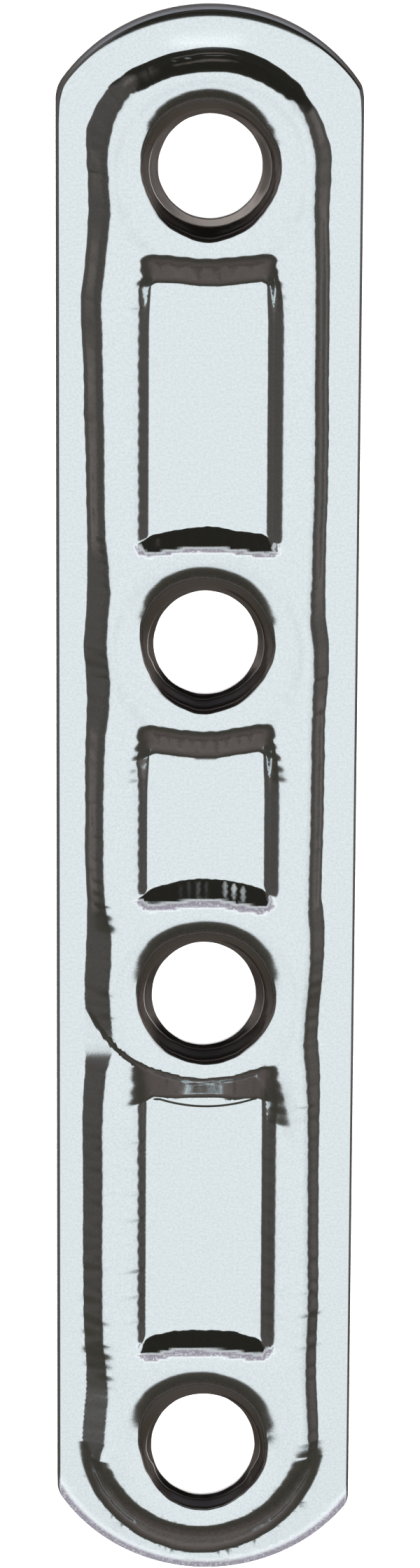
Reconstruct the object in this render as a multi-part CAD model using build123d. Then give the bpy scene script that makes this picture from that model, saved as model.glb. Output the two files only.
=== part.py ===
from build123d import *
from math import atan2, cos, hypot, pi, radians, sin
import os

# Flat mending plate pressed from one piece of zinc plated steel sheet.
# Frame: origin under the middle of the plate on its underside, Y along the
# length, Z up out of the embossed face. All sizes in millimetres.

# ---- driving dimensions -------------------------------------------------
plate_width = 15.0          # across the flanges
plate_length = 82.8         # apex to apex of the two rounded ends
sheet = 1.5                 # flange thickness
north_corner_y = 37.2       # where the straight sides meet the +Y end arc
south_left_y = -37.0        # the -Y end was sheared a little out of square
south_right_y = -37.7

roll_width = 0.75           # soft die roll along the top edge of each end
roll_drop = 0.18

emboss_top = 2.40           # face of the raised panel round holes 1 to 3
emboss_low = 2.28           # the last stretch of the panel is a little lower
emboss_crest = 4.32         # half width where the raised panel starts to fall
emboss_foot = 6.42          # half width where its wall meets the flange
north_axis_y = 33.35        # axis of the rounded +Y end of the panel
south_axis_y = -34.15       # axis of the rounded -Y end of the panel
step_axis_y = -9.75         # axis of the shoulder where the panel steps down
convex_share = 0.66         # share of the wall's bend taken by the upper curve

hole_y = (33.32, 8.77, -9.98, -34.90)   # screw holes, from +Y to -Y
hole_x = (0.05, -0.06, -0.06, 0.0)
hole_top = (emboss_top, emboss_top, emboss_top, emboss_low)
hole_r = 2.62               # cylindrical land at the back of each hole
land_height = 0.45
rim_r = 3.07                # foot of the punched shoulder
rim_z = 0.78
shoulder_r = 3.22           # top of the steep part of the shoulder
dish_r = 4.35               # where the soft dish starts in the panel
dish_lift = 0.012           # the dish breaks the panel face at a slight angle
soft_slope = 15.0           # degrees at the end of the soft part of the dish
soft_r = 3.0                # bend radius of the soft part
nose_r = 0.5                # bend radius of the nose of the shoulder

# pockets: top and foot of the +Y wall, foot and top of the -Y wall, panel face
pockets = (
    (29.25, 27.48, 15.39, 13.61, emboss_top),
    (4.80, 3.00, -3.11, -5.02, emboss_top),
    (-13.85, -15.62, -27.71, -29.62, emboss_low),
)
pocket_depth = 0.77
pocket_half_foot = 2.56     # half width of the flat floor
pocket_half_top = 4.29      # half width at the crest of the rails
pocket_wall = 1.75          # plan width of the pocket walls
pocket_end_bow = 8.5        # plan radius of the pocket's end walls
pocket_corner_foot = 0.45   # plan corner radius on the floor
pocket_corner_top = 1.15    # and at the top

groove_r = 4.40             # centre line of the press groove on the underside
groove_half = 1.50
groove_depth = 0.72
groove_tip_share = 0.30     # share of the groove's bend taken by its narrow tip
groove_soft = 0.10          # the groove's soft edges are cut off by this much
cross_half = 1.10           # shallower grooves under the ridges beside the holes
cross_depth = 0.48
cross_y = (29.05, 13.30, 4.45, -5.45, -14.10, -30.25)


# ---- helpers --------------------------------------------------------------
def ogee(r_top, z_top, r_foot, z_foot, share=convex_share):
    """Edges and sizes of a wall that leaves the top level, ends level."""
    w, h = abs(r_foot - r_top), z_top - z_foot
    side = 1 if r_foot > r_top else -1
    bend = 2 * atan2(h, w)
    total = w / sin(bend)
    big, small = total * share, total * (1 - share)

    def upper(a):
        return (r_top + side * big * sin(a), z_top - big + big * cos(a))

    def lower(a):
        return (r_foot - side * small * sin(a), z_foot + small - small * cos(a))

    return upper, lower, bend


def panel_section(z_top, reach, full):
    """Cross-section of the sheet with the raised panel, bottom left flat."""
    upper, lower, bend = ogee(emboss_crest, z_top, emboss_foot, sheet)
    right = [
        ThreePointArc(upper(0), upper(bend / 2), upper(bend)),
        ThreePointArc(lower(bend), lower(bend / 2), lower(0)),
        Line(lower(0), (reach, sheet)),
        Line((reach, sheet), (reach, 0)),
    ]
    if not full:
        edges = [Line((0, 0), (0, z_top)), Line((0, z_top), upper(0)), *right, Line((reach, 0), (0, 0))]
    else:
        def flip(p):
            return (-p[0], p[1])
        left = [
            ThreePointArc(flip(upper(0)), flip(upper(bend / 2)), flip(upper(bend))),
            ThreePointArc(flip(lower(bend)), flip(lower(bend / 2)), flip(lower(0))),
            Line(flip(lower(0)), (-reach, sheet)),
            Line((-reach, sheet), (-reach, 0)),
        ]
        edges = [*right, *left, Line(flip(upper(0)), upper(0)), Line((-reach, 0), (reach, 0))]
    return make_face(edges)


def run(face, y_from, y_to):
    """Extrude an XZ section along Y."""
    placed = Plane(origin=(0, y_to, 0), x_dir=(1, 0, 0), z_dir=(0, -1, 0)) * face
    return extrude(placed, amount=y_to - y_from)


def turn(face, x, y, start, sweep):
    """Revolve a radius-height section about a vertical axis at x, y."""
    upright = Plane(origin=(0, 0, 0), x_dir=(1, 0, 0), z_dir=(0, -1, 0)) * face
    solid = revolve(upright, axis=Axis.Z, revolution_arc=sweep)
    return Pos(x, y, 0) * Rot(0, 0, start) * solid


def circle_through(a, b, c):
    """Centre and radius of the circle through three plan points."""
    ax, ay, bx, by, cx, cy = *a, *b, *c
    d = 2 * (ax * (by - cy) + bx * (cy - ay) + cx * (ay - by))
    ux = ((ax**2 + ay**2) * (by - cy) + (bx**2 + by**2) * (cy - ay) + (cx**2 + cy**2) * (ay - by)) / d
    uy = ((ax**2 + ay**2) * (cx - bx) + (bx**2 + by**2) * (ax - cx) + (cx**2 + cy**2) * (bx - ax)) / d
    return ux, uy, hypot(ax - ux, ay - uy)


# ---- sheet with its raised panel ------------------------------------------
half_w, half_l = plate_width / 2, plate_length / 2
reach = half_w + 2.5

body = run(panel_section(emboss_top, reach, True), step_axis_y, north_axis_y)
body += turn(panel_section(emboss_top, reach, False), 0, north_axis_y, 0, 180)
body += run(panel_section(emboss_low, reach, True), south_axis_y, step_axis_y)
body += turn(panel_section(emboss_low, reach, False), 0, south_axis_y, 180, 180)

# rounded shoulder where the higher part of the panel ends round the third hole
upper, lower, bend = ogee(emboss_crest - 0.1, emboss_top, emboss_foot - 0.45, sheet + 0.1)
shoulder = make_face([
    Line((0, 1.0), (0, emboss_top)),
    Line((0, emboss_top), upper(0)),
    ThreePointArc(upper(0), upper(bend / 2), upper(bend)),
    Line(upper(bend), (upper(bend)[0] + 0.15, 1.0)),
    Line((upper(bend)[0] + 0.15, 1.0), (0, 1.0)),
])
body += turn(shoulder, 0, step_axis_y, 180, 180)

# ---- outline: straight sides, circular ends --------------------------------
north = ((-half_w, north_corner_y), (0, half_l), (half_w, north_corner_y))
south = ((half_w, south_right_y), (0, -half_l), (-half_w, south_left_y))
outline = make_face([
    ThreePointArc(*north),
    Line(north[2], south[0]),
    ThreePointArc(*south),
    Line(south[2], north[0]),
])
body = body & extrude(outline, amount=4)

# soft roll left by the die on the top edge of the two ends
for points in (north, south):
    cx, cy, r = circle_through(*points)
    bow = (roll_width**2 + roll_drop**2) / (2 * roll_drop)
    end = atan2(roll_width, bow - roll_drop)

    def roll(a):
        return (r - roll_width + bow * sin(a), sheet - bow + bow * cos(a))

    cut = make_face([
        ThreePointArc(roll(0), roll(end / 2), roll(end)),
        Line(roll(end), (r + 1.5, roll(end)[1] - 0.3)),
        Line((r + 1.5, roll(end)[1] - 0.3), (r + 1.5, 4)),
        Line((r + 1.5, 4), (r - roll_width, 4)),
        Line((r - roll_width, 4), roll(0)),
    ])
    body -= turn(cut, cx, cy, 0 if points is north else 180, 180)


# ---- pockets between the holes ---------------------------------------------
def pocket_outline(share, tops, feet, z):
    """Plan outline of a pocket, share 0 on its floor and 1 at its top edge."""
    half = pocket_half_foot + (pocket_half_top - pocket_half_foot) * share
    n = feet[0] + (tops[0] - feet[0]) * share
    s = feet[1] + (tops[1] - feet[1]) * share
    corner = pocket_corner_foot + (pocket_corner_top - pocket_corner_foot) * share
    sag = pocket_end_bow - (pocket_end_bow**2 - half**2) ** 0.5
    edges = [
        ThreePointArc((-half, n + sag), (0, n), (half, n + sag)),
        Line((half, n + sag), (half, s - sag)),
        ThreePointArc((half, s - sag), (0, s), (-half, s - sag)),
        Line((-half, s - sag), (-half, n + sag)),
    ]
    face = make_face(edges)
    face = fillet(face.vertices(), corner)
    return Pos(0, 0, z) * face


for top_n, foot_n, foot_s, top_s, z_top in pockets:
    upper, lower, bend = ogee(0.0, z_top, pocket_wall, z_top - pocket_depth)
    levels = [lower(bend * k / 3) for k in range(4)] + [upper(bend * k / 3) for k in (2, 1, 0)]
    rings = []
    for d, z in levels:
        share = 1 - d / pocket_wall
        rings.append(pocket_outline(share, (top_n, top_s), (foot_n, foot_s), z))
    void = loft(rings, ruled=True)
    body -= void
    body -= extrude(rings[-1], amount=2)

# ---- screw holes -------------------------------------------------------------
for x, y, z_top in zip(hole_x, hole_y, hole_top):
    a1, a2 = radians(soft_slope), radians(82)

    def soft(a):
        return (dish_r - soft_r * sin(a), z_top + dish_lift - soft_r + soft_r * cos(a))

    sx, sz = soft(a1)

    def nose(a):
        return (sx - nose_r * (sin(a) - sin(a1)), sz - nose_r * (cos(a1) - cos(a)))

    roll_r = rim_z - land_height
    lip = (hole_r + roll_r, rim_z)
    mid = (hole_r + roll_r * (1 - cos(pi / 4)), land_height + roll_r * sin(pi / 4))
    edges = [
        Line((0, -1), (hole_r, -1)),
        Line((hole_r, -1), (hole_r, land_height)),
        ThreePointArc((hole_r, land_height), mid, lip),
        Line(lip, (rim_r, rim_z)),
        Line((rim_r, rim_z), nose(a2)),
        ThreePointArc(nose(a2), nose((a1 + a2) / 2), nose(a1)),
        ThreePointArc(soft(a1), soft(a1 / 2), soft(0)),
        Line(soft(0), (dish_r, z_top + 1)),
        Line((dish_r, z_top + 1), (0, z_top + 1)),
        Line((0, z_top + 1), (0, -1)),
    ]
    body -= turn(make_face(edges), x, y, 0, 360)


# ---- press grooves on the underside -----------------------------------------
def groove_section(centre, half, depth):
    """Soft-edged groove with a narrow rounded tip, cut up from the underside."""
    edges = []
    for side in (-1, 1):
        tip, edge, bend = ogee(centre, depth, centre + side * half, -groove_soft, groove_tip_share)
        edges += [
            ThreePointArc(tip(0), tip(bend / 2), tip(bend)),
            ThreePointArc(edge(bend), edge(bend / 2), edge(0)),
            Line(edge(0), (centre + side * half, -1)),
        ]
    edges.append(Line((centre - half, -1), (centre + half, -1)))
    return make_face(edges)


loop = Wire([
    Line((groove_r, south_axis_y), (groove_r, north_axis_y)),
    ThreePointArc((groove_r, north_axis_y), (0, north_axis_y + groove_r), (-groove_r, north_axis_y)),
    Line((-groove_r, north_axis_y), (-groove_r, south_axis_y)),
    ThreePointArc((-groove_r, south_axis_y), (0, south_axis_y - groove_r), (groove_r, south_axis_y)),
])
section = groove_section(0, groove_half, groove_depth)
start = Plane(origin=(groove_r, south_axis_y, 0), x_dir=(-1, 0, 0), z_dir=(0, 1, 0))
body -= sweep(start * section, path=loop)
section = groove_section(0, cross_half, cross_depth)
for y in cross_y:
    across = Plane(origin=(-groove_r, y, 0), x_dir=(0, 1, 0), z_dir=(1, 0, 0)) * section
    body -= extrude(across, amount=2 * groove_r)

plate = body.solids().sort_by(SortBy.VOLUME)[-1]
plate.label = "plate"
os.makedirs("parts", exist_ok=True)
export_step(plate, "parts/plate.step")
print("volume mm3", round(plate.volume, 1), "valid", plate.is_valid, "solids", len(body.solids()))
print("box", plate.bounding_box())
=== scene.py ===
import math

import bpy
import numpy as np
from mathutils import Matrix, Vector
from mathutils.geometry import delaunay_2d_cdt


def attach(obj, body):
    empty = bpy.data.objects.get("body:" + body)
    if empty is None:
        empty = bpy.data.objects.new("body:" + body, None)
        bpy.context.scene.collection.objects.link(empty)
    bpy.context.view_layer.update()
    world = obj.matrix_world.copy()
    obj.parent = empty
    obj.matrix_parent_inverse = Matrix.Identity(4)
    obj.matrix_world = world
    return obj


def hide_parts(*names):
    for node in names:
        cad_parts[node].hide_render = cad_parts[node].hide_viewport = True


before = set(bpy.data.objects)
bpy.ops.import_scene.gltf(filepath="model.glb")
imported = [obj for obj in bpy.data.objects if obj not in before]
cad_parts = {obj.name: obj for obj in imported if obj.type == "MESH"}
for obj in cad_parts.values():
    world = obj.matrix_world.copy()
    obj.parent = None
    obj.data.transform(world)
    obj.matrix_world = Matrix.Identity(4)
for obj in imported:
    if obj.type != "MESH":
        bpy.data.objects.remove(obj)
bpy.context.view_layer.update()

MM = 0.001

# --------------------------------------------------------------------------
# Shape of the pressed sheet. Everything below is in millimetres in the frame
# of the CAD model; it becomes metres when the mesh is written.
# --------------------------------------------------------------------------
SHEET = 1.5
TOP, LOW = 2.40, 2.28
N_AXIS, S_AXIS = 33.35, -34.15
HOLE_X = (0.05, -0.06, -0.06, 0.0)
HOLE_Y = (33.32, 8.77, -9.98, -34.90)
HOLE_R = 2.62
LIP_X = (2.55, 2.60, 2.63, 2.66)        # half width of each bore at its lip
LIP_Y = (2.66, 2.73, 2.80, 2.89)        # and half length
LIP_Z = 0.42
BEND = 2.30             # sum of the two bend radii of a pressed wall
SHARE = 0.66            # share of it taken by the upper bend

# half widths of the raised panel along its sides, every 1.5 mm from the -Y end:
# where it starts to fall and where its wall meets the flange
SIDE_Y = -34.5 + 1.5 * np.arange(46)
R_TOP = [4.46, 4.44, 4.38, 4.33, 4.36, 4.42, 4.44, 4.41, 4.39, 4.37, 4.36, 4.34, 4.33, 4.31, 4.22, 3.97,
         4.07, 4.24, 4.25, 4.29, 4.31, 4.34, 4.38, 4.43, 4.44, 4.45, 4.44, 4.41, 4.39, 4.36, 4.28, 4.28,
         4.39, 4.45, 4.51, 4.52, 4.54, 4.54, 4.52, 4.53, 4.55, 4.55, 4.52, 4.40, 4.30, 4.31]
R_FOOT = [6.46, 6.37, 6.27, 6.22, 6.23, 6.28, 6.28, 6.26, 6.27, 6.27, 6.24, 6.25, 6.24, 6.26, 6.26, 6.22,
          6.27, 6.35, 6.53, 6.50, 6.21, 6.21, 6.25, 6.25, 6.26, 6.28, 6.26, 6.36, 6.55, 6.55, 6.28, 6.25,
          6.23, 6.22, 6.27, 6.27, 6.29, 6.27, 6.25, 6.25, 6.24, 6.23, 6.25, 6.23, 6.26, 6.33]
L_TOP = [4.50, 4.41, 4.26, 4.35, 4.51, 4.56, 4.57, 4.58, 4.58, 4.57, 4.57, 4.58, 4.59, 4.54, 4.40, 4.02,
         4.15, 4.26, 4.15, 4.15, 4.45, 4.54, 4.55, 4.56, 4.55, 4.52, 4.46, 4.27, 4.22, 4.39, 4.36, 4.21,
         4.31, 4.46, 4.51, 4.52, 4.53, 4.55, 4.59, 4.61, 4.64, 4.70, 4.55, 4.39, 4.24, 4.33]
L_FOOT = [6.60, 6.52, 6.38, 6.35, 6.44, 6.50, 6.51, 6.52, 6.53, 6.52, 6.52, 6.54, 6.55, 6.50, 6.41, 6.41,
          6.42, 6.44, 6.37, 6.32, 6.30, 6.37, 6.43, 6.38, 6.40, 6.41, 6.35, 6.30, 6.36, 6.48, 6.36, 6.30,
          6.28, 6.30, 6.33, 6.35, 6.39, 6.45, 6.45, 6.50, 6.58, 6.61, 6.42, 6.29, 6.23, 6.26]
# the same round the +Y end, every 10 degrees from +X to -X
N_TOP = [4.31, 4.41, 4.47, 4.55, 4.67, 4.76, 4.84, 4.91, 4.93, 4.88, 4.92, 4.99, 4.93, 4.96, 4.84, 4.75,
         4.61, 4.47, 4.33]
N_FOOT = [6.33, 6.40, 6.40, 6.46, 6.49, 6.43, 6.42, 6.46, 6.45, 6.42, 6.37, 6.42, 6.51, 6.72, 6.87, 6.79,
          6.70, 6.40, 6.26]
# and round the -Y end from -X through -Y to +X, every 5 degrees for the top and 10 for the foot
S_TOP = [4.50, 4.68, 4.80, 4.81, 4.78, 4.75, 4.69, 4.67, 4.65, 4.62, 4.59, 4.57, 4.56, 4.54, 4.52, 4.50, 4.49, 4.48,
         4.47, 4.45, 4.44, 4.42, 4.42, 4.43, 4.45, 4.42, 4.43, 4.42, 4.42, 4.42, 4.44, 4.46, 4.48, 4.50, 4.50, 4.48,
         4.46]
S_FOOT = [6.58, 6.45, 6.39, 6.37, 6.33, 6.33, 6.36, 6.35, 6.42, 6.41, 6.36, 6.30, 6.27, 6.25, 6.23, 6.21,
          6.25, 6.33, 6.45]

# pockets: y of the top and foot of the +Y wall and of the foot and top of the
# -Y wall at eight stations across, then half widths left top, left foot,
# right top, right foot
POCKET_X = [-4.4, -3.8, -3.45, -3.15, -2.9, -2.6, -1.5, -0.5, 0.5, 1.5, 2.6, 2.9, 3.15, 3.45, 3.8, 4.4]
POCKETS = (
    ([29.70, 29.66, 29.64, 29.62, 29.58, 29.57, 29.47, 29.37, 29.37, 29.47, 29.58, 29.60, 29.62, 29.64, 29.66, 29.7],
     [27.35, 27.36, 27.38, 27.40, 27.48, 27.70, 27.66, 27.52, 27.50, 27.61, 27.74, 27.50, 27.40, 27.38, 27.36, 27.35],
     [14.8, 14.85, 14.9, 14.95, 15.0, 15.07, 15.30, 15.48, 15.48, 15.20, 15.12, 15.0, 14.95, 14.9, 14.85, 14.8],
     [13.3, 13.35, 13.45, 13.50, 13.55, 13.60, 13.72, 13.75, 13.72, 13.68, 13.45, 13.43, 13.40, 13.35, 13.3, 13.2],
     (4.55, 2.40, 4.54, 2.44)),
    ([5.34, 5.32, 5.30, 5.26, 5.24, 5.22, 5.00, 4.90, 4.90, 5.08, 5.28, 5.30, 5.34, 5.36, 5.38, 5.4],
     [3.02, 3.03, 3.05, 3.07, 3.15, 3.32, 3.16, 3.04, 3.04, 3.22, 3.38, 3.18, 3.08, 3.05, 3.03, 3.02],
     [-3.8, -3.72, -3.65, -3.60, -3.55, -3.50, -3.16, -3.04, -3.04, -3.22, -3.48, -3.55, -3.62, -3.68, -3.72, -3.8],
     [-5.5, -5.40, -5.32, -5.28, -5.24, -5.20, -5.08, -4.96, -4.96, -5.20, -5.36, -5.40, -5.42, -5.45, -5.5, -5.6],
     (4.54, 2.41, 4.52, 2.42)),
    ([-12.7, -12.9, -13.02, -13.08, -13.15, -13.22, -13.56, -13.78, -13.72, -13.58, -13.2, -13.1, -13.05, -12.95, -12.8, -12.6],
     [-15.5, -15.45, -15.4, -15.35, -15.3, -15.15, -15.25, -15.20, -15.20, -15.30, -15.25, -15.35, -15.4, -15.4, -15.4, -15.4],
     [-28.3, -28.2, -28.15, -28.1, -28.05, -27.98, -27.72, -27.70, -27.70, -27.78, -28.12, -28.18, -28.2, -28.25, -28.3, -28.4],
     [-30.1, -30.0, -29.96, -29.92, -29.88, -29.84, -29.56, -29.55, -29.60, -29.67, -29.86, -29.92, -29.95, -29.98, -30.0, -30.1],
     (4.54, 2.41, 4.52, 2.42)),
)
POCKET_DEPTH = 0.77
SIDE_BEND = 3.3         # the sides of a pocket are bent more softly than its ends
NORTH_BEND = (2.08, 2.08, 1.32)
# where the sides meet the +Y wall they bend tighter: top and foot, left and right
NORTH_SIDE = ((3.86, 2.66, 3.76, 2.68), (3.92, 2.68, 3.78, 2.66), (4.40, 2.46, 3.95, 2.72))

# dishes round the holes: radius, every 10 degrees from +X, where the dish is
# 15 degrees steep and turns into the punched shoulder
DISH_R = (
    [3.44, 3.56, 3.66, 3.59, 3.64, 3.67, 3.83, 3.91, 4.00, 3.99, 4.00, 4.01, 4.04, 3.98, 3.86, 3.81,
     3.67, 3.61, 3.49, 3.37, 3.26, 3.36, 3.34, 3.39, 3.26, 3.24, 3.43, 3.43, 3.23, 3.24, 3.25, 3.28,
     3.23, 3.22, 3.32, 3.33],
    [3.45, 3.57, 3.63, 3.60, 3.73, 3.87, 3.95, 4.04, 4.03, 4.13, 4.14, 4.14, 4.16, 3.99, 3.94, 3.75,
     3.55, 3.42, 3.29, 3.17, 3.06, 3.06, 3.16, 3.10, 3.06, 3.04, 3.23, 3.22, 3.02, 3.03, 3.15, 3.08,
     3.12, 3.11, 3.22, 3.33],
    [3.65, 3.77, 3.70, 3.81, 3.94, 4.01, 4.09, 4.09, 4.09, 4.09, 4.09, 4.10, 4.10, 4.12, 3.95, 3.72,
     3.69, 3.59, 3.49, 3.37, 3.26, 3.15, 3.26, 3.20, 3.16, 3.03, 3.12, 3.21, 3.12, 3.13, 3.25, 3.19,
     3.22, 3.31, 3.41, 3.53],
    [3.36, 3.40, 3.42, 3.56, 3.79, 3.98, 4.08, 4.08, 4.18, 4.28, 4.28, 4.28, 4.28, 4.29, 4.11, 3.87,
     3.58, 3.35, 3.30, 3.18, 3.00, 2.97, 2.99, 2.94, 2.92, 2.92, 2.97, 2.96, 2.93, 2.92, 2.90, 2.86,
     2.94, 3.03, 3.13, 3.24],
)
SOFT_R = 3.0
SOFT_A = math.radians(15.0)
SOFT_W = SOFT_R * math.sin(SOFT_A)
SOFT_H = SOFT_R * (1 - math.cos(SOFT_A))
RIM_X = (3.02, 2.92, 3.06, 2.95)        # half width of each ledge at the foot of the shoulder
RIM_Y = (2.98, 3.03, 3.10, 3.04)        # and half length
RIM_Z = 0.76

ROLL_W, ROLL_A = 0.88, math.radians(25.0)       # die roll at the two ends
ROLL_BOW = ROLL_W / math.sin(ROLL_A)
EDGE_END, EDGE_SIDE = 0.10, 0.24                # rounding of the top edge


def smooth(t):
    t = np.clip(t, 0.0, 1.0)
    return t * t * (3 - 2 * t)


def ripple(s, seed, lengths, size):
    """A smooth irregular line: a few sine waves with fixed random phases."""
    rng = np.random.RandomState(seed)
    out = np.zeros_like(s, dtype=float)
    for length in lengths:
        out += np.sin(2 * math.pi * s / length * rng.uniform(0.8, 1.25) + rng.uniform(0, 6.283)) * rng.uniform(0.5, 1)
    return out * size / math.sqrt(len(lengths))


def ring_ripple(s, seed, lengths, size, total):
    """The same on a closed line of that total length."""
    rng = np.random.RandomState(seed)
    out = np.zeros_like(s, dtype=float)
    for length in lengths:
        waves = max(1, round(total / length * rng.uniform(0.8, 1.25)))
        out += np.sin(2 * math.pi * s / total * waves + rng.uniform(0, 6.283)) * rng.uniform(0.5, 1)
    return out * size / math.sqrt(len(lengths))


def wall_fall(d, w, h, radii=BEND):
    """Fall below the top level at distance d from the top of a wall that is w wide and h high."""
    bend = 2 * np.arctan2(h, w)
    total = np.minimum(radii, w / np.sin(bend))
    reach = np.hypot(w, total - h)
    steep = np.arctan2(w, total - h) - np.arccos(np.clip(total / reach, -1, 1))
    big, small = SHARE * total, (1 - SHARE) * total
    d = np.clip(d, 0, w)
    a, b = big * np.sin(steep), w - small * np.sin(steep)
    first = big - np.sqrt(np.maximum(big**2 - np.minimum(d, a) ** 2, 1e-9))
    middle = big * (1 - np.cos(steep)) + (d - a) * np.tan(steep)
    last = h - small + np.sqrt(np.maximum(small**2 - np.minimum(w - d, small * np.sin(steep)) ** 2, 1e-9))
    return np.where(d < a, first, np.where(d < b, middle, last))


def circle_through(a, b, c):
    (ax, ay), (bx, by), (cx, cy) = a, b, c
    d = 2 * (ax * (by - cy) + bx * (cy - ay) + cx * (ay - by))
    ux = ((ax**2 + ay**2) * (by - cy) + (bx**2 + by**2) * (cy - ay) + (cx**2 + cy**2) * (ay - by)) / d
    uy = ((ax**2 + ay**2) * (cx - bx) + (bx**2 + by**2) * (ax - cx) + (cx**2 + cy**2) * (bx - ax)) / d
    return ux, uy, math.hypot(ax - ux, ay - uy)


END_N = circle_through((-7.5, 37.2), (0, 41.4), (7.5, 37.2))
END_S = circle_through((7.5, -37.7), (0, -41.4), (-7.5, -37.0))


def outer_wall(x, y):
    """Distance from the axis, and where the outer wall starts and ends, there."""
    right = x >= 0
    rho = np.abs(x)
    top = np.where(right, np.interp(y, SIDE_Y, R_TOP), np.interp(y, SIDE_Y, L_TOP))
    foot = np.where(right, np.interp(y, SIDE_Y, R_FOOT), np.interp(y, SIDE_Y, L_FOOT))
    north, south = y > N_AXIS, y < S_AXIS
    a_n = np.degrees(np.arctan2(y - N_AXIS, x))
    a_s = np.degrees(np.arctan2(y - S_AXIS, x)) + 180
    step = np.arange(0, 181, 10)
    rho = np.where(north, np.hypot(x, y - N_AXIS), np.where(south, np.hypot(x, y - S_AXIS), rho))
    top = np.where(north, np.interp(a_n, step, N_TOP), np.where(south, np.interp(a_s, np.arange(0, 181, 5), S_TOP), top))
    foot = np.where(north, np.interp(a_n, step, N_FOOT), np.where(south, np.interp(a_s, step, S_FOOT), foot))
    straight, bow = N_AXIS - S_AXIS, 17.0
    along = np.where(right, y - S_AXIS, straight + bow + N_AXIS - y)
    along = np.where(north, straight + a_n / 180 * bow, np.where(south, 2 * straight + bow + a_s / 180 * bow, along))
    total = 2 * (straight + bow)
    top = top + ring_ripple(along, 3, (3.1, 1.7, 0.9, 0.6), 0.014, total)
    foot = foot + ring_ripple(along, 5, (3.7, 1.9, 1.1, 0.8), 0.014, total)
    # the +X wall is nowhere wider than this, so that it stays steep all the way
    widest = 2.0 - 1.25 * (TOP - panel(x, y))
    over = np.maximum(foot - top - widest, 0) * smooth((x - 3.0) / 1.5)
    top, foot = top + over / 2, foot - over / 2
    return rho, top, foot


def pad_edge(x):
    """y of the line where the raised panel steps down, south of the third hole."""
    r = np.where(x < 0, 6.6, 9.0)
    return -13.78 + r - np.sqrt(np.maximum(r * r - x * x, 1.0))


def panel(x, y):
    """Level of the panel face."""
    width = np.where(x < 2.5, 0.42, 0.42 + (x - 2.5) * 2.6)
    t = (pad_edge(x) - y) / width
    return TOP - (TOP - LOW) * smooth(t)


def crease(x):
    """y of a thin step in the floor of the third pocket, bowed away from its +Y wall."""
    return -15.26 - 0.40 * np.maximum(1 - ((x - 0.1) / 2.4) ** 2, 0)


def pocket_fall(x, y):
    fall = np.zeros_like(x)
    for k, (tn, fn, fs, ts, (lt, lf, rt, rf)) in enumerate(POCKETS):
        near = (y < max(tn) + 0.2) & (y > min(ts) - 0.2) & (np.abs(x) < 4.7)
        if not near.any():
            continue
        px, py = x[near], y[near]
        n_top, n_foot = np.interp(px, POCKET_X, tn), np.interp(px, POCKET_X, fn)
        s_foot, s_top = np.interp(px, POCKET_X, fs), np.interp(px, POCKET_X, ts)
        n_top = n_top + ripple(px, 11 + k, (2.3, 1.1, 0.7), 0.02)
        s_foot = s_foot + ripple(px, 15 + k, (1.9, 0.9, 0.5), 0.03)
        wobble = ripple(py + 60 * (px > 0), 21 + k, (4.0, 2.1, 1.2, 0.7), 0.016)
        top, foot = np.where(px < 0, lt, rt) + wobble, np.where(px < 0, lf, rf)
        lt2, lf2, rt2, rf2 = NORTH_SIDE[k]
        q = smooth((py - min(fn[6:10]) + 2.0) / 3.2)
        top = top - q * np.where(px < 0, lt - lt2, rt - rt2)
        foot = foot - q * np.where(px < 0, lf - lf2, rf - rf2)
        bends = SIDE_BEND + (1.0 - SIDE_BEND) * q * (1 if k < 2 else (px > 0))
        depth = np.full(px.shape, POCKET_DEPTH)
        side = wall_fall(top - np.abs(px), top - foot, depth, bends) / POCKET_DEPTH
        north = wall_fall(n_top - py, n_top - n_foot, depth, NORTH_BEND[k]) / POCKET_DEPTH
        bend = BEND
        if k == 0:
            bend = 1.35
            width = s_foot - s_top
            was = np.minimum(BEND, width / np.sin(2 * np.arctan2(POCKET_DEPTH, width)))
            s_top, s_foot = s_top + 0.193 * (was - bend), s_foot - 0.099 * (was - bend)
        south = wall_fall(py - s_top, s_foot - s_top, depth, bend) / POCKET_DEPTH
        # the product rounds the corners, more at the top than on the floor
        fall[near] += POCKET_DEPTH * side * north * south
        if k == 2:
            fall[near] -= 0.016 * smooth((py - crease(px)) / 0.15 + 0.5) * smooth((2.75 - np.abs(px)) / 0.3) * side * north
    return fall


DISH_T = []
for table in DISH_R:
    t = np.array(table)
    for _ in range(2):
        t = (np.roll(t, 1) + 2 * t + np.roll(t, -1)) / 4
    DISH_T.append(np.append(t, t[0]))


def dish_edge(k, angle):
    """Radius where dish k is 15 degrees steep."""
    a = np.degrees(angle) % 360
    return np.interp(a, np.arange(0, 361, 10), DISH_T[k]) + ripple(np.minimum(a, 360 - a) / 20, 31 + k, (1.9, 1.1, 0.7), 0.012)


def dish_fall(x, y):
    fall = np.zeros_like(x)
    for k, (hx, hy) in enumerate(zip(HOLE_X, HOLE_Y)):
        dx, dy = x - hx, y - hy
        near = np.hypot(dx, dy) < 5.6
        if not near.any():
            continue
        r, a = np.hypot(dx[near], dy[near]), np.arctan2(dy[near], dx[near])
        start = dish_edge(k, a) + SOFT_W
        t = np.clip(start - r, 0, SOFT_W)
        soft = SOFT_R - np.sqrt(SOFT_R**2 - t**2)
        fall[near] += soft + np.clip(start - SOFT_W - r, 0, 1) * math.tan(SOFT_A)
    return fall


def edge_distance(x, y):
    """How far inside the end arcs and the sides a point is."""
    n = np.where(y > 30, END_N[2] - np.hypot(x - END_N[0], y - END_N[1]), 99.0)
    s = np.where(y < -30, END_S[2] - np.hypot(x - END_S[0], y - END_S[1]), 99.0)
    return np.minimum(n, s)


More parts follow.
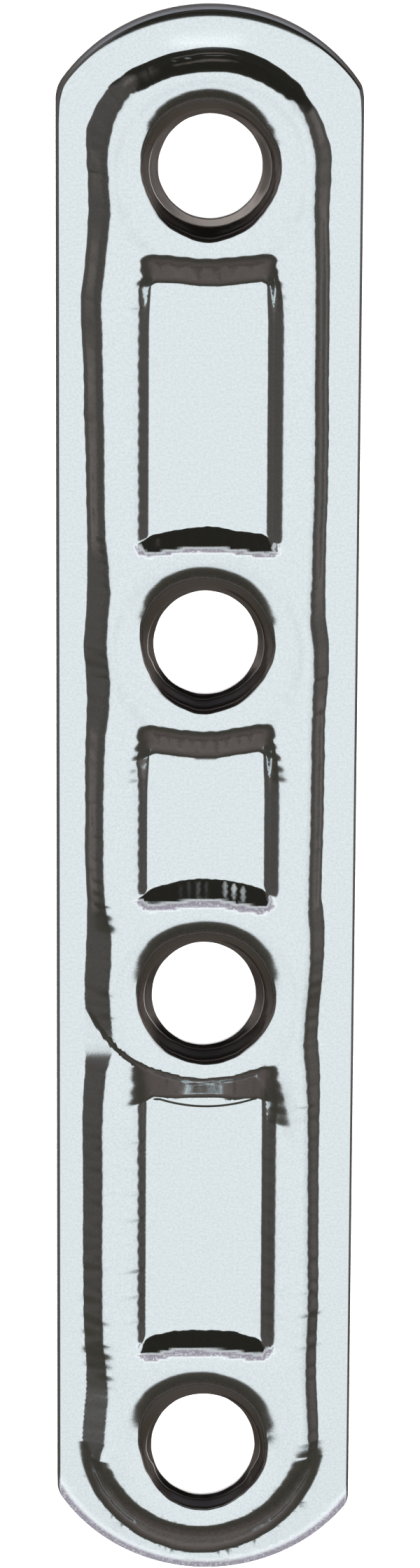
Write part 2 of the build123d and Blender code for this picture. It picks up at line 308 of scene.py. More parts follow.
def face(x, y):
    """Height of the upper side of the sheet."""
    x, y = np.asarray(x, float), np.asarray(y, float)
    rho, top, foot = outer_wall(x, y)
    level = panel(x, y)
    z = level - wall_fall(rho - top, foot - top, level - SHEET, BEND + 0.2 * smooth(x / 4))
    z = z - pocket_fall(x, y) - dish_fall(x, y)
    d = edge_distance(x, y)
    t = np.where(y > 0, np.clip(ROLL_W - d, 0, ROLL_W), 0)
    z = z - (ROLL_BOW - np.sqrt(ROLL_BOW**2 - t**2))
    t = np.where(y < 0, np.clip(0.75 - d, 0, 0.75), 0)
    return z - 0.020 * t**2 - 0.40 * np.clip(t - 0.43, 0, 0.32) ** 2


def slopes(f, x, y, e=0.01):
    return (f(x + e, y) - f(x - e, y)) / (2 * e), (f(x, y + e) - f(x, y - e)) / (2 * e)


# underside: the press groove under the walls and the shallow cross grooves
def groove(d, half, depth, share=0.30, soft=0.10):
    h = depth + soft
    bend = 2 * math.atan2(h, half)
    total = half / math.sin(bend)
    big, small = share * total, (1 - share) * total
    d = np.clip(np.abs(d), 0, half)
    inner = depth - big + np.sqrt(np.maximum(big**2 - np.minimum(d, big) ** 2, 0))
    outer = -soft + small - np.sqrt(np.maximum(small**2 - (half - d) ** 2, 0))
    z = np.where(d < big * math.sin(bend), inner, outer)
    return 0.5 * (z + soft * 0.25 + np.sqrt((z + soft * 0.25) ** 2 + 0.02**2)) * smooth((half - d) / 0.05)


def back(x, y):
    x, y = np.asarray(x, float), np.asarray(y, float)
    rho = np.where(y > N_AXIS, np.hypot(x, y - N_AXIS), np.where(y < S_AXIS, np.hypot(x, y - S_AXIS), np.abs(x)))
    z = groove(rho - 4.40, 1.50, 0.62)
    for yc in (29.05, 13.30, 4.45, -5.45, -14.10, -30.25):
        z = np.maximum(z, groove(y - yc, 1.10, 0.40) * (np.abs(x) < 4.40))
    return z


# --------------------------------------------------------------------------
# Mesh: plan triangulations for the two sides, strips for the edge and a
# ring of quads down each hole, all sharing vertices
# --------------------------------------------------------------------------
def outline():
    """Closed plan line of the plate, counter-clockwise, with its small corners."""
    def arc(c, p, q, n):
        a, b = math.atan2(p[1] - c[1], p[0] - c[0]), math.atan2(q[1] - c[1], q[0] - c[0])
        if b < a:
            b += 2 * math.pi
        return [(c[0] + c[2] * math.cos(a + (b - a) * t), c[1] + c[2] * math.sin(a + (b - a) * t)) for t in np.linspace(0, 1, n)]

    def trimmed(line, cut_a, cut_b):
        line = np.array(line)
        s = np.r_[0, np.cumsum(np.hypot(*np.diff(line, axis=0).T))]
        keep = np.linspace(cut_a, s[-1] - cut_b, len(line))
        return np.c_[np.interp(keep, s, line[:, 0]), np.interp(keep, s, line[:, 1])]

    sr, nr, nl, sl = (7.5, -37.7), (7.5, 37.2), (-7.5, 37.2), (-7.5, -37.0)
    cut = {"sr": 0.3, "nr": 0.3, "nl": 0.55, "sl": 0.3}
    parts = [
        (trimmed([(7.5, y) for y in np.linspace(-37.7, 37.2, 250)], cut["sr"], cut["nr"]), nr),
        (trimmed(arc(END_N, nr, nl, 75), cut["nr"], cut["nl"]), nl),
        (trimmed([(-7.5, y) for y in np.linspace(37.2, -37.0, 248)], cut["nl"], cut["sl"]), sl),
        (trimmed(arc(END_S, sl, sr, 75), cut["sl"], cut["sr"]), sr),
    ]
    points = []
    for k, (line, corner) in enumerate(parts):
        points += [tuple(p) for p in line]
        p, q = line[-1], parts[(k + 1) % 4][0][0]
        for t in (0.2, 0.4, 0.6, 0.8):
            points.append(tuple((1 - t) ** 2 * p + 2 * t * (1 - t) * np.array(corner) + t * t * q))
    return np.array(points)


def lattice(density, x0, x1, y0, y1, pitch):
    """Points on nested square grids: every point, every second, every fourth, as asked by density(x, y) in mm."""
    nx, ny = int((x1 - x0) / pitch) + 1, int((y1 - y0) / pitch) + 1
    i, j = np.meshgrid(np.arange(nx), np.arange(ny))
    x, y = x0 + (i + 0.5 * (j % 2)) * pitch, y0 + j * pitch
    want = density(x, y)
    keep = want <= pitch * 1.4
    keep |= (want > pitch * 1.4) & (want <= pitch * 2.8) & (i % 2 == 0) & (j % 2 == 0)
    keep |= (want > pitch * 2.8) & (i % 4 == 0) & (j % 4 == 0)
    return np.c_[x[keep], y[keep]]


def inside(points, polygon):
    """Even-odd test."""
    px, py = points[:, 0], points[:, 1]
    out = np.zeros(len(points), bool)
    a, b = polygon, np.roll(polygon, -1, axis=0)
    for (ax, ay), (bx, by) in zip(a, b):
        if ay == by:
            continue
        hit = (ay > py) != (by > py)
        out ^= hit & (px < ax + (py - ay) / (by - ay) * (bx - ax))
    return out


def clear_of(points, line, gap):
    """Drop the points closer than gap to a closed line."""
    a, b = line, np.roll(line, -1, axis=0)
    keep = np.ones(len(points), bool)
    order = np.argsort(points[:, 1])
    ys = points[order, 1]
    for p, q in zip(a, b):
        lo, hi = np.searchsorted(ys, [min(p[1], q[1]) - gap, max(p[1], q[1]) + gap])
        idx = order[lo:hi]
        if not len(idx):
            continue
        d = q - p
        t = np.clip(((points[idx] - p) @ d) / max(d @ d, 1e-12), 0, 1)
        keep[idx[np.hypot(*(points[idx] - p - t[:, None] * d).T) < gap]] = False
    return points[keep]


def fill(loops, points):
    """Triangulate the plan between the first loop and the others (holes)."""
    verts = [Vector(p) for loop in loops for p in loop]
    edges, at = [], 0
    for loop in loops:
        n = len(loop)
        edges += [(at + i, at + (i + 1) % n) for i in range(n)]
        at += n
    verts += [Vector(p) for p in points]
    got = delaunay_2d_cdt(verts, edges, [], 0, 1e-7)
    place = np.array([tuple(v) for v in got[0]])
    tris = np.array([f for f in got[2] if len(f) == 3])
    origin = np.full(len(place), -1)
    for i, o in enumerate(got[3]):
        if len(o):
            origin[i] = min(o)
    mid = place[tris].mean(axis=1)
    keep = inside(mid, loops[0])
    for loop in loops[1:]:
        keep &= ~inside(mid, loop)
    tris = origin[tris[keep]]
    allp = np.array([tuple(v) for v in verts])
    a, b, c = allp[tris[:, 0]], allp[tris[:, 1]], allp[tris[:, 2]]
    turn = (b[:, 0] - a[:, 0]) * (c[:, 1] - a[:, 1]) - (b[:, 1] - a[:, 1]) * (c[:, 0] - a[:, 0])
    tris[turn < 0] = tris[turn < 0][:, ::-1]
    return allp, tris[np.abs(turn) > 1e-9]


def density_top(x, y):
    e = 0.08
    z = face(x, y)
    bend = np.hypot(face(x + e, y) + face(x - e, y) - 2 * z, face(x, y + e) + face(x, y - e) - 2 * z) / e**2
    sx, sy = (face(x + e, y) - face(x - e, y)) / (2 * e), (face(x, y + e) - face(x, y - e)) / (2 * e)
    steep = np.hypot(sx, sy)
    return np.where((bend > 0.10) | (steep > 0.10), 0.13, np.where((bend > 0.02) | (steep > 0.02), 0.26, 0.52))


def density_back(x, y):
    z = back(x, y)
    near = (z > 0.01) | (back(x + 0.3, y) > 0.01) | (back(x - 0.3, y) > 0.01) | (back(x, y + 0.3) > 0.01) | (back(x, y - 0.3) > 0.01)
    return np.where(near, 0.26, 0.9)


OUT = outline()
tangent = np.roll(OUT, -1, axis=0) - np.roll(OUT, 1, axis=0)
tangent /= np.hypot(*tangent.T)[:, None]
OUTWARD = np.c_[tangent[:, 1], -tangent[:, 0]]
EDGE = EDGE_END + (EDGE_SIDE - EDGE_END) * smooth((np.abs(OUTWARD[:, 0]) - 0.75) / 0.25)
EDGE = np.where(OUTWARD[:, 1] < -0.5, 0.06, EDGE)

TURNS = 160
angles = np.linspace(0, 2 * math.pi, TURNS, endpoint=False)
hole_loops = []
for k, (hx, hy) in enumerate(zip(HOLE_X, HOLE_Y)):
    r = dish_edge(k, angles)
    hole_loops.append(np.c_[hx + r * np.cos(angles), hy + r * np.sin(angles)])

top_line = OUT - OUTWARD * EDGE[:, None]
grid = lattice(density_top, -7.45, 7.45, -41.35, 41.35, 0.13)
grid = grid[inside(grid, top_line)]
for loop in [top_line, *hole_loops]:
    grid = clear_of(grid, loop, 0.07)
for loop in hole_loops:
    grid = grid[~inside(grid, loop)]
grid = grid[(np.abs(grid[:, 0]) > 2.85) | (np.abs(grid[:, 1] - crease(grid[:, 0])) > 0.17)]
across = np.arange(-2.8, 2.81, 0.09)
for offset in (-0.13, -0.08, -0.04, 0.0, 0.04, 0.08, 0.13):
    grid = np.r_[grid, np.c_[across, crease(across) + offset]]
top_plan, top_tris = fill([top_line, *hole_loops], grid)

vertices, normals, faces = [], [], []


def add(points, normal):
    at = sum(len(v) for v in vertices)
    vertices.append(np.asarray(points, float))
    normals.append(np.asarray(normal, float))
    return at


def unit(n):
    return n / np.linalg.norm(n, axis=1)[:, None]


tx, ty = top_plan[:, 0], top_plan[:, 1]
sx, sy = slopes(face, tx, ty)
top_at = add(np.c_[tx, ty, face(tx, ty)], unit(np.c_[-sx, -sy, np.ones(len(tx))]))
faces += [tuple(f) for f in (top_tris + top_at)]
n_out = len(OUT)


def strip(a, b, n):
    """Quads between two closed rows of n vertices; a is the upper or outer row."""
    for i in range(n):
        j = (i + 1) % n
        faces.append((a + i, b + i, b + j, a + j))


# edge of the plate: a small rounding, the sheared face, the lower edge
edge_slope = np.clip(-(sx[:n_out] * OUTWARD[:, 0] + sy[:n_out] * OUTWARD[:, 1]), 0, 1.2)
edge_a = np.arctan(edge_slope)
edge_r = EDGE / (1 - np.sin(edge_a))
z_edge = face(top_line[:, 0], top_line[:, 1])
above = top_at
for t in (0.25, 0.5, 0.75, 1.0):
    a = edge_a + (math.pi / 2 - edge_a) * t
    inset = edge_r * (1 - np.sin(a))
    z = z_edge - edge_r * (np.cos(edge_a) - np.cos(a))
    row = add(np.c_[OUT - OUTWARD * inset[:, None], z], np.c_[OUTWARD * np.sin(a)[:, None], np.cos(a)])
    strip(above, row, n_out)
    above = row
for z in (0.9, 0.45, 0.06):
    row = add(np.c_[OUT, np.full(n_out, z)], np.c_[OUTWARD, np.zeros(n_out)])
    strip(above, row, n_out)
    above = row
low_line = OUT - OUTWARD * 0.05

def lip_radius(k, a):
    return LIP_X[k] * LIP_Y[k] / np.hypot(LIP_Y[k] * np.cos(a), LIP_X[k] * np.sin(a)) + ring_ripple(a, 41 + k, (1.6, 0.8, 0.4), 0.010, 2 * math.pi)


# underside
low_loops = [low_line]
for hx, hy in zip(HOLE_X, HOLE_Y):
    k = len(low_loops) - 1
    flare = lip_radius(k, angles) + 0.15
    low_loops.append(np.c_[hx + flare * np.cos(angles), hy + flare * np.sin(angles)])
grid = lattice(density_back, -7.3, 7.3, -41.2, 41.2, 0.26)
grid = grid[inside(grid, low_line)]
for loop in low_loops:
    grid = clear_of(grid, loop, 0.12)
for loop in low_loops[1:]:
    grid = grid[~inside(grid, loop)]
low_plan, low_tris = fill(low_loops, grid)
bx, by = low_plan[:, 0], low_plan[:, 1]
gx, gy = slopes(back, bx, by)
low_at = add(np.c_[bx, by, back(bx, by)], unit(np.c_[gx, gy, -np.ones(len(bx))]))
faces += [tuple(f[::-1]) for f in (low_tris + low_at)]
strip(above, low_at, n_out)

# holes: punched shoulder, thin ledge, cone, land
rims = []
for k, (hx, hy) in enumerate(zip(HOLE_X, HOLE_Y)):
    r15 = dish_edge(k, angles)
    loop = hole_loops[k]
    z15 = face(loop[:, 0], loop[:, 1])
    lip = lip_radius(k, angles)
    nose = np.clip((r15 - lip - 0.10) / 0.74, 0.10, 0.35)
    rim = RIM_X[k] * RIM_Y[k] / np.hypot(RIM_Y[k] * np.cos(angles), RIM_X[k] * np.sin(angles))
    rim = np.minimum(rim, r15 - 0.74 * nose - 0.02 + (0.10 * smooth(-np.sin(angles) * 2 - 0.6) if k == 3 else 0))
    lip = np.minimum(lip, rim - 0.05)
    rims.append(np.append(rim, rim[0]))
    lo, hi = np.full(TURNS, SOFT_A), np.full(TURNS, math.radians(88))
    for _ in range(40):
        a = (lo + hi) / 2
        rr = r15 - nose * (np.sin(a) - math.sin(SOFT_A))
        zz = z15 - nose * (math.cos(SOFT_A) - np.cos(a))
        too_flat = (zz - RIM_Z) > np.tan(a) * (rr - rim)
        lo, hi = np.where(too_flat, a, lo), np.where(too_flat, hi, a)
    steep = (lo + hi) / 2
    rows = []
    for t in (0.2, 0.4, 0.6, 0.8, 1.0):
        a = SOFT_A + (steep - SOFT_A) * t
        rows.append((r15 - nose * (np.sin(a) - math.sin(SOFT_A)), z15 - nose * (math.cos(SOFT_A) - np.cos(a))))
    r_a, z_a = rows[-1]
    for t in (0.3, 0.6, 0.88):
        rows.append((r_a + (rim - r_a) * t, z_a + (RIM_Z - z_a) * t))
    rows.append((rim - 0.005, np.full(TURNS, RIM_Z + 0.006)))
    rows.append((rim - 0.011, np.full(TURNS, RIM_Z + 0.001)))
    rows.append((rim - 0.036, np.full(TURNS, RIM_Z)))
    rows.append((rim - 0.046, np.full(TURNS, RIM_Z - 0.012)))
    inner = rim - 0.046
    gap = np.minimum(0.05, (inner - lip) * 0.5)
    for t in (0.35, 0.7, 1.0):
        rows.append((inner + (lip + gap - inner) * t, RIM_Z - 0.012 + (LIP_Z + 0.05 - RIM_Z + 0.012) * t * np.ones(TURNS)))
    rows.append((lip + 0.3 * gap, np.full(TURNS, LIP_Z + 0.015)))
    rows.append((lip, np.full(TURNS, LIP_Z - 0.03)))
    rows.append((lip + 0.005, np.full(TURNS, 0.30)))
    rows.append((lip + 0.10, np.full(TURNS, 0.08)))
    loop_at = top_at + n_out + k * TURNS
    low_loop_at = low_at + n_out + k * TURNS
    line_r = [r15] + [r for r, _ in rows] + [lip + 0.15]
    line_z = [z15] + [z for _, z in rows] + [np.zeros(TURNS)]
    line_r, line_z = np.array(line_r), np.array(line_z)
    above = loop_at
    for m in range(1, len(line_r) - 1):
        r, z = line_r[m], line_z[m]
        ux, uz = line_r[m] - line_r[m - 1], line_z[m] - line_z[m - 1]
        vx, vz = line_r[m + 1] - line_r[m], line_z[m + 1] - line_z[m]
        lu, lv = np.hypot(ux, uz), np.hypot(vx, vz)
        # weight the two neighbours so that flats between bends stay flat
        dx, dz = ux / lu**1.5 + vx / lv**1.5, uz / lu**1.5 + vz / lv**1.5
        nr, nz = dz, -dx
        length = np.hypot(nr, nz)
        nr, nz = nr / length, nz / length
        row = add(np.c_[hx + r * np.cos(angles), hy + r * np.sin(angles), z],
                  np.c_[nr * np.cos(angles), nr * np.sin(angles), nz])
        strip(row, above, TURNS)
        above = row
    strip(low_loop_at, above, TURNS)

points = np.concatenate(vertices)
normal = unit(np.concatenate(normals))

# drop vertices that no face uses
used = np.zeros(len(points), bool)
for f in faces:
    used[list(f)] = True
renumber = np.cumsum(used) - 1
points, normal = points[used], normal[used]
faces = [tuple(int(renumber[i]) for i in f) for f in faces]

mesh = bpy.data.meshes.new("pressed_plate")
mesh.from_pydata((points * MM).tolist(), [], faces)
mesh.update()
mesh.polygons.foreach_set("use_smooth", np.ones(len(mesh.polygons), bool))
mesh.normals_split_custom_set_from_vertices(normal.tolist())
plate = bpy.data.objects.new("pressed_plate", mesh)
bpy.context.scene.collection.objects.link(plate)
print("triangles", sum(len(f) - 2 for f in faces), "box", points.min(0), points.max(0))

# masks for the material: painted shade over the upper bend of a wall, strongest
# where the bend faces -Y, and the steep walls
px, py, pz = points.T
sx, sy = slopes(face, px, py)
slope = np.hypot(sx, sy)
e = 0.12
curve = -(face(px + e, py) + face(px - e, py) + face(px, py + e) + face(px, py - e) - 4 * face(px, py)) / e**2
on_top = pz > face(px, py) - 0.02
bend_shade = np.where(on_top, smooth((curve - 0.05) / 0.45) * smooth((slope - 0.36) / 0.15), 0)
bend_shade *= smooth(edge_distance(px, py) / 0.3 - 3)
pocket = on_top & (pocket_fall(px, py) > 0.0005) & (np.abs(px) < 4.6)
# painted shade: in the pockets it stays full only on bends that face -Y
bend_shade = np.where(pocket, bend_shade * (0.15 + 0.85 * smooth((sy - 0.25) / 0.2)), 0.4 * bend_shade)
# painted shade on the -Y-facing slopes of the dishes round the holes, outside the pockets
for hx, hy in zip(HOLE_X, HOLE_Y):
    ring = on_top & (np.hypot(px - hx, py - hy) < 5) & (sy > 0)
    bend_shade = np.where(ring, np.maximum(bend_shade, 0.8 * smooth((sy - 0.10) / 0.10) * (pocket_fall(px, py) < 0.001)), bend_shade)
wall = np.where(on_top, smooth((slope - 0.05) / 0.2), 0)
# punched and sheared surfaces: inside the holes and the lower part of the edge
bore = np.zeros(len(points))
for k, (hx, hy) in enumerate(zip(HOLE_X, HOLE_Y)):
    r, a = np.hypot(px - hx, py - hy), np.arctan2(py - hy, px - hx)
    bore = np.where((r < 5) & (pz > 0.001), np.maximum(bore, smooth((dish_edge(k, a) - 0.02 - r) / (0.15 + 0.35 * smooth(np.sin(a) * 2)))), bore)
    shoulder = (r < dish_edge(k, a) + 0.15) & (pz > 0.001)
    bore = np.where(shoulder, np.maximum(bore, smooth((1.98 - pz) / 0.2)), bore)
    # painted shade on the top of the +Y part of each punched shoulder
    north_side = smooth((np.sin(a) * 0.268 - 0.10) / 0.10)
    bend_shade = np.where(shoulder & (pz > 1.0) & (r < dish_edge(k, a) + 0.02), np.maximum(bend_shade, 0.8 * north_side) * (1 - bore), bend_shade)
# painted shade: near-black on the -Y side of the punched shoulders, and a thin band on the +X side by the ledge
hole_shade = np.zeros(len(points))
for k, (hx, hy) in enumerate(zip(HOLE_X, HOLE_Y)):
    r, a = np.hypot(px - hx, py - hy), np.arctan2(py - hy, px - hx)
    rim = np.interp(np.degrees(a) % 360, np.linspace(0, 360, TURNS + 1), rims[k])
    inner = rim - 0.01 if k == 0 else lip_radius(k, a) - 0.1
    ring = (r < 5) & (r > inner) & (bore > 0)
    side = np.maximum(smooth((-np.sin(a) - 0.30) / 0.40), 0.85 * smooth((np.cos(a) - 0.2) / 0.3) * smooth((rim + 0.16 - r) / 0.05) * (r > rim - 0.006))
    hole_shade = np.where(ring, np.maximum(hole_shade, side * np.minimum(bore * 1.5, 1)), hole_shade)
# painted shade: faint darker rings on the flat panel round the first three holes, in place of a slight step
ring_shade = np.zeros(len(points))
for (hx, hy), radius, depth in zip(zip(HOLE_X, HOLE_Y), (4.75, 4.70, 4.65, 0), (1.0, 1.0, 0.6, 0)):
    r = np.hypot(px - hx, py - hy)
    ring_shade = np.maximum(ring_shade, on_top * depth * np.exp(-((r - radius) / 0.16) ** 2) * (slope < 0.2))
# painted shade: dark patches on the upper bends of the pockets' -Y walls, along the -Y end and across the +Y end
patch_shade = np.zeros(len(points))
patch_shade = np.where(pocket, np.minimum(1.9 * smooth((-sy - 0.24) / 0.06) * smooth((0.60 + sy) / 0.16) * smooth((curve - 0.05) / 0.3), 1), patch_shade)
rim_s = edge_distance(px, py)
patch_shade = np.where(on_top & (py < -36), np.maximum(patch_shade, np.minimum(1.3 * smooth((0.62 - rim_s) / 0.45), 1)), patch_shade)
patch = np.exp(-((px + 0.1) / 1.7) ** 4 - ((py - 39.95 - 0.02 * px) / 0.22) ** 2)
patch_shade = np.where(on_top, np.maximum(patch_shade, 0.5 * patch), patch_shade)
torn = np.where(~on_top & (bore == 0) & (pz > 0.001), smooth((0.95 - pz) / 0.4), 0)
for name, values in (("bend_shade", bend_shade), ("wall", wall), ("bore", np.maximum(bore, torn)), ("hole_shade", hole_shade), ("ring_shade", ring_shade), ("patch_shade", patch_shade)):
    layer = mesh.attributes.new(name, "FLOAT", "POINT")
    layer.data.foreach_set("value", values.astype(np.float32))

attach(plate, "root")
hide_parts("plate")


# --------------------------------------------------------------------------
# Material: bright zinc plate on steel
# --------------------------------------------------------------------------
zinc = bpy.data.materials.new("zinc_plate")
zinc.use_nodes = True
nodes, links = zinc.node_tree.nodes, zinc.node_tree.links
nodes.clear()


def node(kind, **settings):
    n = nodes.new(kind)
    for key, value in settings.items():
        setattr(n, key, value)
    return n


out = node("ShaderNodeOutputMaterial")
shader = node("ShaderNodeBsdfPrincipled")
shader.inputs["Metallic"].default_value = 1.0
links.new(shader.outputs["BSDF"], out.inputs["Surface"])

coord = node("ShaderNodeTexCoord")
scale = node("ShaderNodeMapping")
scale.inputs["Scale"].default_value = (1000, 1000, 1000)
links.new(coord.outputs["Object"], scale.inputs["Vector"])

# colour: pale blue-grey zinc with a fine mottle, and painted shade in grains over the upper bends of the walls
mottle = node("ShaderNodeTexNoise")
mottle.inputs["Scale"].default_value = 8.0
mottle.inputs["Detail"].default_value = 4.0
mottle.inputs["Roughness"].default_value = 0.7
links.new(scale.outputs["Vector"], mottle.inputs["Vector"])
tint = node("ShaderNodeValToRGB")
tint.color_ramp.elements[0].position = 0.30
tint.color_ramp.elements[0].color = (0.74, 0.83, 0.85, 1)
tint.color_ramp.elements[1].position = 0.70
tint.color_ramp.elements[1].color = (0.93, 0.98, 1.0, 1)
links.new(mottle.outputs["Fac"], tint.inputs["Fac"])

grain = node("ShaderNodeTexNoise")
grain.inputs["Scale"].default_value = 9.0
grain.inputs["Detail"].default_value = 3.0
grain.inputs["Roughness"].default_value = 0.8
links.new(scale.outputs["Vector"], grain.inputs["Vector"])

bend_shade_at = node("ShaderNodeAttribute", attribute_name="bend_shade")
wall_at = node("ShaderNodeAttribute", attribute_name="wall")
# painted shade: darker grey-green grains mixed in over the upper bends of the walls
dark = node("ShaderNodeMix", data_type="RGBA")
dark.inputs[7].default_value = (0.42, 0.46, 0.44, 1)
links.new(tint.outputs["Color"], dark.inputs[6])
grain_dark = node("ShaderNodeMapRange")
grain_dark.inputs["From Min"].default_value = 0.35
grain_dark.inputs["From Max"].default_value = 0.62
grain_dark.inputs["To Min"].default_value = 1.0
grain_dark.inputs["To Max"].default_value = 0.25
links.new(grain.outputs["Fac"], grain_dark.inputs["Value"])
dark_mix = node("ShaderNodeMath", operation="MULTIPLY")
links.new(grain_dark.outputs["Result"], dark_mix.inputs[0])
links.new(bend_shade_at.outputs["Fac"], dark_mix.inputs[1])
links.new(dark_mix.outputs["Value"], dark.inputs[0])
bore_at = node("ShaderNodeAttribute", attribute_name="bore")
punched = node("ShaderNodeMix", data_type="RGBA")
punched.inputs[7].default_value = (0.80, 0.75, 0.72, 1)
links.new(dark.outputs[2], punched.inputs[6])
links.new(bore_at.outputs["Fac"], punched.inputs[0])
hole_shade_at = node("ShaderNodeAttribute", attribute_name="hole_shade")
# painted shade: near-black on the -Y side of the holes
hole_shaded = node("ShaderNodeMix", data_type="RGBA")
hole_shaded.inputs[7].default_value = (0.17, 0.155, 0.16, 1)
links.new(punched.outputs[2], hole_shaded.inputs[6])
links.new(hole_shade_at.outputs["Fac"], hole_shaded.inputs[0])
ring_shade_at = node("ShaderNodeAttribute", attribute_name="ring_shade")
ring_shade_mix = node("ShaderNodeMath", operation="MULTIPLY")
ring_shade_mix.inputs[1].default_value = 0.14
links.new(ring_shade_at.outputs["Fac"], ring_shade_mix.inputs[0])
# painted shade: faint blue-grey rings round the holes
ring_shaded = node("ShaderNodeMix", data_type="RGBA")
ring_shaded.inputs[7].default_value = (0.46, 0.50, 0.55, 1)
links.new(hole_shaded.outputs[2], ring_shaded.inputs[6])
links.new(ring_shade_mix.outputs["Value"], ring_shaded.inputs[0])
# painted shade: near-black dull patches, broken up by grain, where the metal turns non-metallic
patch_shade_at = node("ShaderNodeAttribute", attribute_name="patch_shade")
patch_shade_grain = node("ShaderNodeMapRange")
patch_shade_grain.inputs["From Min"].default_value = 0.24
patch_shade_grain.inputs["From Max"].default_value = 0.46
links.new(grain.outputs["Fac"], patch_shade_grain.inputs["Value"])
patch_shade_mix = node("ShaderNodeMath", operation="MULTIPLY")
links.new(patch_shade_at.outputs["Fac"], patch_shade_mix.inputs[0])
links.new(patch_shade_grain.outputs["Result"], patch_shade_mix.inputs[1])
patch_shaded = node("ShaderNodeMix", data_type="RGBA")
patch_shaded.inputs[7].default_value = (0.135, 0.126, 0.150, 1)
links.new(ring_shaded.outputs[2], patch_shaded.inputs[6])
links.new(patch_shade_mix.outputs["Value"], patch_shaded.inputs[0])
links.new(patch_shaded.outputs[2], shader.inputs["Base Color"])
metal = node("ShaderNodeMapRange")
metal.inputs["To Min"].default_value = 1.0
metal.inputs["To Max"].default_value = 0.12
links.new(patch_shade_mix.outputs["Value"], metal.inputs["Value"])
links.new(metal.outputs["Result"], shader.inputs["Metallic"])
rough = node("ShaderNodeMapRange")
rough.inputs["To Min"].default_value = 0.10
rough.inputs["To Max"].default_value = 0.30
links.new(bore_at.outputs["Fac"], rough.inputs["Value"])
links.new(rough.outputs["Result"], shader.inputs["Roughness"])

# relief finer than the mesh: faint everywhere, coarser grain where the painted shade lies on the upper bends
fine = node("ShaderNodeBump")
fine.inputs["Strength"].default_value = 0.13
fine.inputs["Distance"].default_value = 0.000008
links.new(mottle.outputs["Fac"], fine.inputs["Height"])
coarse = node("ShaderNodeBump")
coarse.inputs["Distance"].default_value = 0.000006
coarse_k = node("ShaderNodeMapRange")
coarse_k.inputs["To Min"].default_value = 0.02
coarse_k.inputs["To Max"].default_value = 0.5
links.new(bend_shade_at.outputs["Fac"], coarse_k.inputs["Value"])
links.new(coarse_k.outputs["Result"], coarse.inputs["Strength"])
links.new(grain.outputs["Fac"], coarse.inputs["Height"])
links.new(fine.outputs["Normal"], coarse.inputs["Normal"])
links.new(coarse.outputs["Normal"], shader.inputs["Normal"])
mesh.materials.append(zinc)

# --------------------------------------------------------------------------
# Studio: pale floor, soft top light, one broad bright panel overhead
# --------------------------------------------------------------------------
bpy.ops.mesh.primitive_plane_add(size=3.0, location=(0, 0, 0))
floor = bpy.context.active_object
floor.name = "floor"
paper = bpy.data.materials.new("paper")
paper.use_nodes = True
paper.node_tree.nodes["Principled BSDF"].inputs["Base Color"].default_value = (0.9, 0.9, 0.9, 1)
paper.node_tree.nodes["Principled BSDF"].inputs["Roughness"].default_value = 0.9
paper.node_tree.nodes["Principled BSDF"].inputs["Specular IOR Level"].default_value = 0.0
floor.data.materials.append(paper)
floor.visible_glossy = False

world = bpy.data.worlds.new("studio")
bpy.context.scene.world = world
world.use_nodes = True
wn, wl = world.node_tree.nodes, world.node_tree.links
wn.clear()
w_out = wn.new("ShaderNodeOutputWorld")
w_back = wn.new("ShaderNodeBackground")
wl.new(w_back.outputs["Background"], w_out.inputs["Surface"])
w_coord = wn.new("ShaderNodeTexCoord")
w_axes = wn.new("ShaderNodeSeparateXYZ")
wl.new(w_coord.outputs["Generated"], w_axes.inputs["Vector"])


def w_edge(axis, start, end):
    """Smooth 0 to 1 as the direction's component goes from start to end."""
    n = wn.new("ShaderNodeMapRange")
    n.interpolation_type = "SMOOTHSTEP"
    n.inputs["From Min"].default_value = start
    n.inputs["From Max"].default_value = end
    wl.new(w_axes.outputs[axis], n.inputs["Value"])
    return n.outputs["Result"]


def w_mul(a, b):
    n = wn.new("ShaderNodeMath")
    n.operation = "MULTIPLY"
    wl.new(a, n.inputs[0])
    wl.new(b, n.inputs[1])
    return n.outputs["Value"]


def w_mix(fac, a, b):
    n = wn.new("ShaderNodeMix")
    n.data_type = "RGBA"
    wl.new(fac, n.inputs[0])
    for socket, value in ((n.inputs[6], a), (n.inputs[7], b)):
        if isinstance(value, tuple):
            socket.default_value = (*value, 1)
        else:
            wl.new(value, socket)
    return n.outputs[2]


soft = 0.018
panel_light = w_mul(w_mul(w_edge("Y", -0.468 - soft, -0.468 + soft), w_edge("Y", 0.316 + soft, 0.316 - soft)),
                    w_mul(w_edge("X", -0.693 - soft, -0.693 + soft), w_edge("X", 0.826 + soft, 0.826 - soft)))
panel_light = w_mul(panel_light, w_edge("Z", 0.0, 0.1))
room = w_mix(w_edge("Y", -0.50, -0.98), (0.080, 0.070, 0.064), (0.105, 0.082, 0.076))
room = w_mix(w_edge("Z", 0.30, 0.0), room, (0.145, 0.122, 0.112))
room = w_mix(w_edge("Z", -0.02, -0.25), room, (0.085, 0.076, 0.070))
room = w_mix(w_mul(w_edge("Y", -0.36, -0.48), w_edge("Y", -0.95, -0.60)), room, (0.052, 0.045, 0.036))
north = w_mul(w_edge("Y", 0.22, 0.34), w_edge("X", -0.68, -0.45))
north_low = w_mul(w_edge("Y", 0.92, 0.99), w_edge("Z", 0.0, 0.2))
room = w_mix(north, room, (0.020, 0.018, 0.0145))
room = w_mix(north_low, room, (0.135, 0.115, 0.102))
low = w_mul(w_mul(w_edge("Z", -0.92, -0.96), w_edge("Y", -0.12, 0.12)), w_edge("Y", 0.36, 0.28))
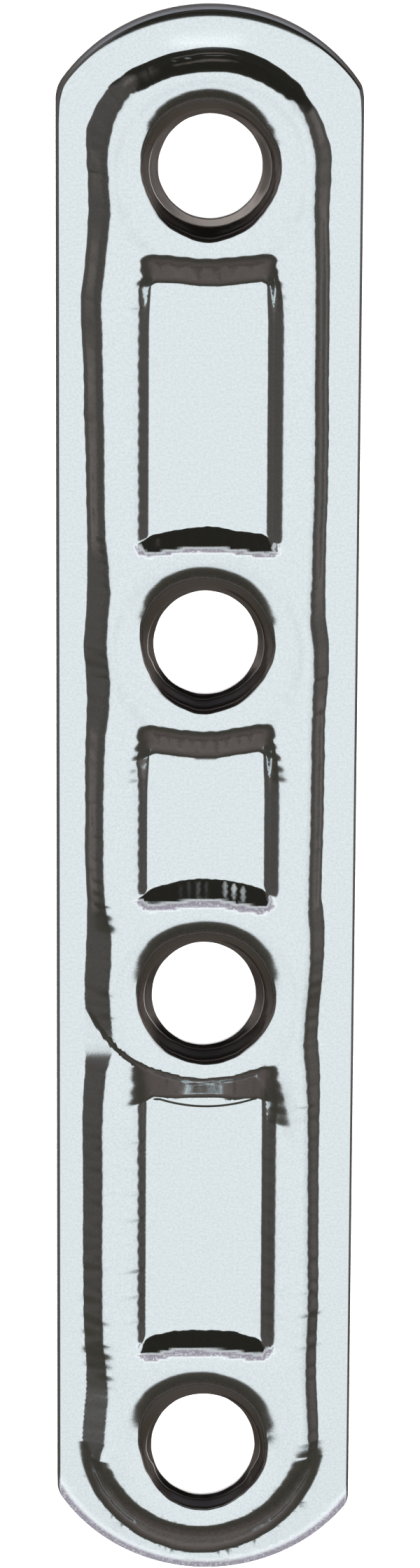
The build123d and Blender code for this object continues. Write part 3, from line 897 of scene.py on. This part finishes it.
room = w_mix(low, room, (0.22, 0.22, 0.24))
sky = w_mix(panel_light, room, (0.86, 0.87, 0.88))
wl.new(sky, w_back.inputs["Color"])

lamp_data = bpy.data.lights.new("soft_top", "AREA")
lamp_data.shape = "RECTANGLE"
lamp_data.size, lamp_data.size_y = 1.6, 1.6
lamp_data.energy = 60
lamp = bpy.data.objects.new("soft_top", lamp_data)
bpy.context.scene.collection.objects.link(lamp)
lamp.location = (0.1, 0.1, 1.3)
lamp.rotation_euler = (0, 0, 0)
lamp.visible_glossy = False

# --------------------------------------------------------------------------
# Camera: a long lens from above, tipped 20 degrees towards +Y
# --------------------------------------------------------------------------
eye_axis = Vector((-math.tan(math.radians(1.5)), math.tan(math.radians(20.0)), 1.0)).normalized()
distance, focal = 0.4106, 11709.0
aim = Vector((0, -0.245, 1.5)) * MM
z_axis = eye_axis
x_axis = Vector((0, 1, 0)).cross(z_axis).normalized()
y_axis = z_axis.cross(x_axis)
roll = math.radians(0.296)
x_axis, y_axis = x_axis * math.cos(roll) + y_axis * math.sin(roll), y_axis * math.cos(roll) - x_axis * math.sin(roll)
place = aim + eye_axis * distance
# turn the view so that the plate sits in the frame as in the picture
look = (x_axis * (4.99 / focal) + y_axis * (51.9 / focal) - z_axis).normalized()
z_axis = -look
x_axis = y_axis.cross(z_axis).normalized()
y_axis = z_axis.cross(x_axis)
camera_data = bpy.data.cameras.new("camera")
camera_data.sensor_fit = "AUTO"      # the sensor width lies along the long side of the picture
camera_data.sensor_width = 36.0
camera_data.lens = focal / 2238 * 36.0
camera_data.clip_start, camera_data.clip_end = 0.01, 20
camera = bpy.data.objects.new("camera", camera_data)
bpy.context.scene.collection.objects.link(camera)
camera.matrix_world = Matrix((
    (x_axis.x, y_axis.x, z_axis.x, place.x),
    (x_axis.y, y_axis.y, z_axis.y, place.y),
    (x_axis.z, y_axis.z, z_axis.z, place.z),
    (0, 0, 0, 1),
))
bpy.context.scene.camera = camera
bpy.context.scene.view_settings.view_transform = "Standard"
